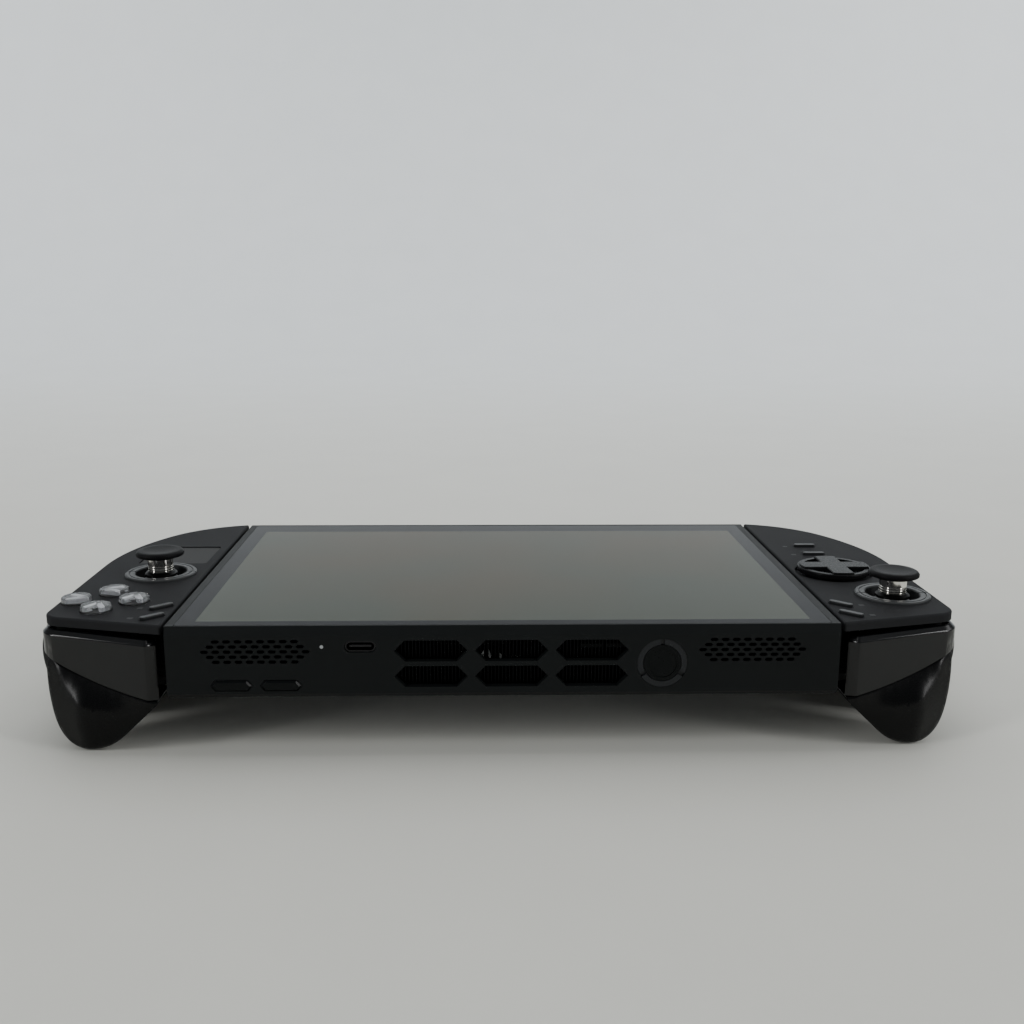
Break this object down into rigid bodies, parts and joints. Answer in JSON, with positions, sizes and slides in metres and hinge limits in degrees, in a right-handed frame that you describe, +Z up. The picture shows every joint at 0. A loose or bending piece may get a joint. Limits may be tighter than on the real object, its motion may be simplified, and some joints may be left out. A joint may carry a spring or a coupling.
{
  "type": "handheld game console",
  "caption": "Wide tablet console with a flush screen, exhaust vents and speaker grilles in one edge, and a grip controller slid onto each side with stick, buttons, bumper and trigger.",
  "frame": {"origin": "middle of the console's width and of the tablet's depth, at the height of the table that the two grips rest on", "axes": "+X across the console towards the player's left hand, +Y away from the vented edge with the bumpers and triggers, +Z up out of the screen"},
  "size_m": [0.2956, 0.1373, 0.051],
  "materials": {
    "housing_shell": "satin",
    "cover_shell": "satin",
    "screen_glass": "gloss",
    "display": "gloss",
    "battery_foil": "satin",
    "circuit_board": "satin",
    "heat_sink_metal": "satin",
    "fan_plastic": "matte",
    "speaker_box": "matte",
    "port_steel": "brushed",
    "light_lens": "gloss",
    "button_black": "satin",
    "stand_metal": "satin",
    "plate_black": "satin",
    "grip_black": "matte",
    "rail_steel": "brushed",
    "ring_grey": "satin",
    "stick_mechanism": "satin",
    "dome_grey": "gloss",
    "stick_chrome": "polished",
    "stick_rubber": "matte",
    "clear_button": "gloss",
    "dpad_gloss": "gloss",
    "trigger_black": "semi-gloss"
  },
  "bodies": {
    "tablet": {"tablet_housing": "housing_shell", "rear_cover": "cover_shell", "cover_glass": "screen_glass", "display_panel": "display", "battery_pack": "battery_foil", "main_board": "circuit_board", "heat_sink": "heat_sink_metal", "fan_housing": "fan_plastic", "speakers": "speaker_box", "usb_c_ports": "port_steel", "power_ring": "ring_grey", "status_light": "light_lens"},
    "fan": {"fan_rotor": "fan_plastic"},
    "power_button": {"power_button": "button_black"},
    "volume_up_button": {"volume_up_button": "button_black"},
    "volume_down_button": {"volume_down_button": "button_black"},
    "kickstand": {"kickstand": "stand_metal"},
    "right_controller": {"right_face_plate": "plate_black", "right_grip_shell": "grip_black", "right_slide_rail": "rail_steel", "right_control_board": "circuit_board", "right_stick_ring": "ring_grey", "right_stick_base": "stick_mechanism", "right_trigger_pin": "rail_steel"},
    "right_release_button": {"right_release_button": "button_black"},
    "right_rear_button": {"right_rear_button": "button_black"},
    "right_bumper": {"right_bumper": "trigger_black"},
    "right_trigger": {"right_trigger": "trigger_black"},
    "right_stick_yoke": {"right_stick_yoke": "stick_mechanism"},
    "right_stick_dome": {"right_stick_dome": "dome_grey"},
    "right_stick": {"right_stick_shaft": "stick_chrome", "right_stick_cap": "stick_rubber"},
    "right_menu_button_far": {"right_menu_button_far": "button_black"},
    "right_menu_button_near": {"right_menu_button_near": "button_black"},
    "left_controller": {"left_face_plate": "plate_black", "left_grip_shell": "grip_black", "left_slide_rail": "rail_steel", "left_control_board": "circuit_board", "left_stick_ring": "ring_grey", "left_stick_base": "stick_mechanism", "left_trigger_pin": "rail_steel"},
    "left_release_button": {"left_release_button": "button_black"},
    "left_rear_button": {"left_rear_button": "button_black"},
    "left_bumper": {"left_bumper": "trigger_black"},
    "left_trigger": {"left_trigger": "trigger_black"},
    "left_stick_yoke": {"left_stick_yoke": "stick_mechanism"},
    "left_stick_dome": {"left_stick_dome": "dome_grey"},
    "left_stick": {"left_stick_shaft": "stick_chrome", "left_stick_cap": "stick_rubber"},
    "left_menu_button_far": {"left_menu_button_far": "button_black"},
    "left_menu_button_near": {"left_menu_button_near": "button_black"},
    "face_button_far": {"face_button_far": "clear_button"},
    "face_button_near": {"face_button_near": "clear_button"},
    "face_button_inner": {"face_button_inner": "clear_button"},
    "face_button_outer": {"face_button_outer": "clear_button"},
    "touchpad": {"touchpad": "plate_black"},
    "left_quick_button_far": {"left_quick_button_far": "button_black"},
    "left_quick_button_near": {"left_quick_button_near": "button_black"},
    "dpad_rocker": {"dpad_rocker": "stick_mechanism"},
    "dpad_cap": {"dpad_cap": "dpad_gloss"}
  },
  "joints": [
    {"name": "fan_spin", "type": "hinge", "parent": "tablet", "child": "fan", "pos_m": [-0.001, -0.02885, 0.02725], "axis": [0, 0, 1], "continuous": true},
    {"name": "power_button_press", "type": "slide", "parent": "tablet", "child": "power_button", "axis": [0, 1, 0], "range_m": [0, 0.0005], "stiffness_N_per_m": 600, "springref_m": -0.001},
    {"name": "volume_up_press", "type": "slide", "parent": "tablet", "child": "volume_up_button", "axis": [0, 1, 0], "range_m": [0, 0.0006], "stiffness_N_per_m": 600, "springref_m": -0.001},
    {"name": "volume_down_press", "type": "slide", "parent": "tablet", "child": "volume_down_button", "axis": [0, 1, 0], "range_m": [0, 0.0006], "stiffness_N_per_m": 600, "springref_m": -0.001},
    {"name": "kickstand_hinge", "type": "hinge", "parent": "tablet", "child": "kickstand", "pos_m": [0, 0.01765, 0.02015], "axis": [-1, 0, 0], "range_deg": [0, 120]},
    {"name": "right_controller_slide", "type": "slide", "parent": "tablet", "child": "right_controller", "axis": [0, 1, 0], "range_m": [0, 0.12]},
    {"name": "right_release_press", "type": "slide", "parent": "right_controller", "child": "right_release_button", "axis": [0, 0, 1], "range_m": [0, 0.0012], "stiffness_N_per_m": 300, "springref_m": -0.001},
    {"name": "right_rear_button_press", "type": "slide", "parent": "right_controller", "child": "right_rear_button", "axis": [-0.9099, 0, 0.4149], "range_m": [0, 0.001], "stiffness_N_per_m": 300, "springref_m": -0.001},
    {"name": "right_bumper_press", "type": "slide", "parent": "right_controller", "child": "right_bumper", "axis": [0, 1, 0], "range_m": [0, 0.0008], "stiffness_N_per_m": 600, "springref_m": -0.001},
    {"name": "right_trigger_pull", "type": "hinge", "parent": "right_controller", "child": "right_trigger", "pos_m": [-0.1218, -0.05525, 0.03075], "axis": [1, 0, 0], "range_deg": [0, 14], "stiffness_Nm_per_rad": 0.08, "springref_deg": -8.59},
    {"name": "right_stick_tilt_ns", "type": "hinge", "parent": "right_controller", "child": "right_stick_yoke", "pos_m": [-0.12, -0.00805, 0.03365], "axis": [1, 0, 0], "range_deg": [-14, 14], "stiffness_Nm_per_rad": 0.03},
    {"name": "right_stick_tilt_ew", "type": "hinge", "parent": "right_stick_yoke", "child": "right_stick_dome", "pos_m": [-0.12, -0.00805, 0.03365], "axis": [0, 1, 0], "range_deg": [-14, 14], "stiffness_Nm_per_rad": 0.03},
    {"name": "right_stick_click", "type": "slide", "parent": "right_stick_dome", "child": "right_stick", "axis": [0, 0, -1], "range_m": [0, 0.0004], "stiffness_N_per_m": 1500, "springref_m": -0.001},
    {"name": "right_menu_button_far_press", "type": "slide", "parent": "right_controller", "child": "right_menu_button_far", "axis": [0, 0, -1], "range_m": [0, 0.0005], "stiffness_N_per_m": 300, "springref_m": -0.001},
    {"name": "right_menu_button_near_press", "type": "slide", "parent": "right_controller", "child": "right_menu_button_near", "axis": [0, 0, -1], "range_m": [0, 0.0005], "stiffness_N_per_m": 300, "springref_m": -0.001},
    {"name": "left_controller_slide", "type": "slide", "parent": "tablet", "child": "left_controller", "axis": [0, 1, 0], "range_m": [0, 0.12]},
    {"name": "left_release_press", "type": "slide", "parent": "left_controller", "child": "left_release_button", "axis": [0, 0, 1], "range_m": [0, 0.0012], "stiffness_N_per_m": 300, "springref_m": -0.001},
    {"name": "left_rear_button_press", "type": "slide", "parent": "left_controller", "child": "left_rear_button", "axis": [0.9099, 0, 0.4149], "range_m": [0, 0.001], "stiffness_N_per_m": 300, "springref_m": -0.001},
    {"name": "left_bumper_press", "type": "slide", "parent": "left_controller", "child": "left_bumper", "axis": [0, 1, 0], "range_m": [0, 0.0008], "stiffness_N_per_m": 600, "springref_m": -0.001},
    {"name": "left_trigger_pull", "type": "hinge", "parent": "left_controller", "child": "left_trigger", "pos_m": [0.1218, -0.05525, 0.03075], "axis": [1, 0, 0], "range_deg": [0, 14], "stiffness_Nm_per_rad": 0.08, "springref_deg": -8.59},
    {"name": "left_stick_tilt_ns", "type": "hinge", "parent": "left_controller", "child": "left_stick_yoke", "pos_m": [0.1296, -0.03775, 0.03365], "axis": [1, 0, 0], "range_deg": [-14, 14], "stiffness_Nm_per_rad": 0.03},
    {"name": "left_stick_tilt_ew", "type": "hinge", "parent": "left_stick_yoke", "child": "left_stick_dome", "pos_m": [0.1296, -0.03775, 0.03365], "axis": [0, 1, 0], "range_deg": [-14, 14], "stiffness_Nm_per_rad": 0.03},
    {"name": "left_stick_click", "type": "slide", "parent": "left_stick_dome", "child": "left_stick", "axis": [0, 0, -1], "range_m": [0, 0.0004], "stiffness_N_per_m": 1500, "springref_m": -0.001},
    {"name": "left_menu_button_far_press", "type": "slide", "parent": "left_controller", "child": "left_menu_button_far", "axis": [0, 0, -1], "range_m": [0, 0.0005], "stiffness_N_per_m": 300, "springref_m": -0.001},
    {"name": "left_menu_button_near_press", "type": "slide", "parent": "left_controller", "child": "left_menu_button_near", "axis": [0, 0, -1], "range_m": [0, 0.0005], "stiffness_N_per_m": 300, "springref_m": -0.001},
    {"name": "face_button_far_press", "type": "slide", "parent": "right_controller", "child": "face_button_far", "axis": [0, 0, -1], "range_m": [0, 0.001], "stiffness_N_per_m": 300, "springref_m": -0.001},
    {"name": "face_button_near_press", "type": "slide", "parent": "right_controller", "child": "face_button_near", "axis": [0, 0, -1], "range_m": [0, 0.001], "stiffness_N_per_m": 300, "springref_m": -0.001},
    {"name": "face_button_inner_press", "type": "slide", "parent": "right_controller", "child": "face_button_inner", "axis": [0, 0, -1], "range_m": [0, 0.001], "stiffness_N_per_m": 300, "springref_m": -0.001},
    {"name": "face_button_outer_press", "type": "slide", "parent": "right_controller", "child": "face_button_outer", "axis": [0, 0, -1], "range_m": [0, 0.001], "stiffness_N_per_m": 300, "springref_m": -0.001},
    {"name": "touchpad_click", "type": "slide", "parent": "right_controller", "child": "touchpad", "axis": [0, 0, -1], "range_m": [0, 0.0003], "stiffness_N_per_m": 1500, "springref_m": -0.001},
    {"name": "left_quick_button_far_press", "type": "slide", "parent": "left_controller", "child": "left_quick_button_far", "axis": [0, 0, -1], "range_m": [0, 0.0005], "stiffness_N_per_m": 300, "springref_m": -0.001},
    {"name": "left_quick_button_near_press", "type": "slide", "parent": "left_controller", "child": "left_quick_button_near", "axis": [0, 0, -1], "range_m": [0, 0.0005], "stiffness_N_per_m": 300, "springref_m": -0.001},
    {"name": "dpad_rock_ns", "type": "hinge", "parent": "left_controller", "child": "dpad_rocker", "pos_m": [0.1189, -0.00875, 0.03705], "axis": [1, 0, 0], "range_deg": [-4, 4], "stiffness_Nm_per_rad": 0.1},
    {"name": "dpad_rock_ew", "type": "hinge", "parent": "dpad_rocker", "child": "dpad_cap", "pos_m": [0.1189, -0.00875, 0.03705], "axis": [0, 1, 0], "range_deg": [-4, 4], "stiffness_Nm_per_rad": 0.1}
  ]
}
